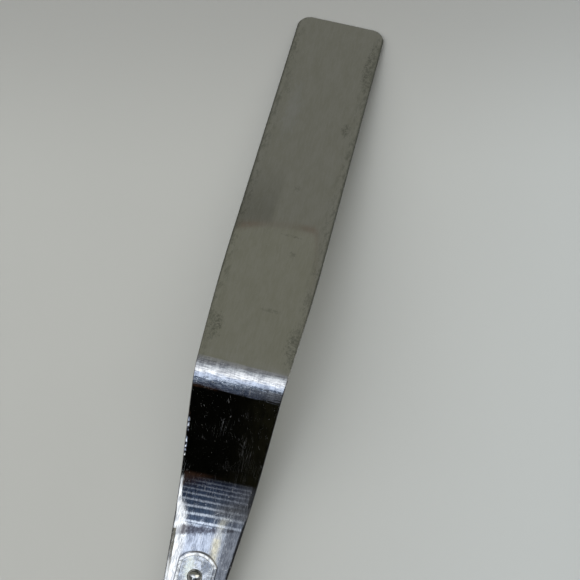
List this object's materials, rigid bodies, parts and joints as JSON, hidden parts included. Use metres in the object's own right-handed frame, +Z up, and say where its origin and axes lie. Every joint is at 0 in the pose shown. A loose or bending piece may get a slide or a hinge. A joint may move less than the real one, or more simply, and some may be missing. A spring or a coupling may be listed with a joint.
{
  "type": "offset spatula",
  "caption": "Baker's offset spatula: a square-ended satin blade, a polished offset and neck, and a two-scale wooden grip riveted to a full tang.",
  "frame": {"origin": "under the middle of the whole length, on the surface that the tip and the butt rest on", "axes": "+Z up, +Y along the tool from the grip to the blade's tip, +X across the blade"},
  "size_m": [0.0382, 0.3834, 0.0383],
  "materials": {
    "blade_steel": "satin flat, polished offset and neck",
    "strap_steel": "polished stainless with fine scratches",
    "rivet_steel": "polished dome",
    "grip_wood": "oiled dark hardwood, satin",
    "rivet_brass": "ground flush, dulled by handling"
  },
  "bodies": {
    "root": {"blade": "blade_steel", "handle_strap": "strap_steel", "front_neck_rivet": "rivet_steel", "rear_neck_rivet": "rivet_steel", "upper_scale": "grip_wood", "lower_scale": "grip_wood", "hang_grommet": "rivet_brass", "hang_grommet_washer": "rivet_brass", "front_rivet_barrel": "rivet_brass", "front_rivet_post": "rivet_brass", "middle_rivet_barrel": "rivet_brass", "middle_rivet_post": "rivet_brass", "rear_rivet_barrel": "rivet_brass", "rear_rivet_post": "rivet_brass"}
  },
  "joints": []
}
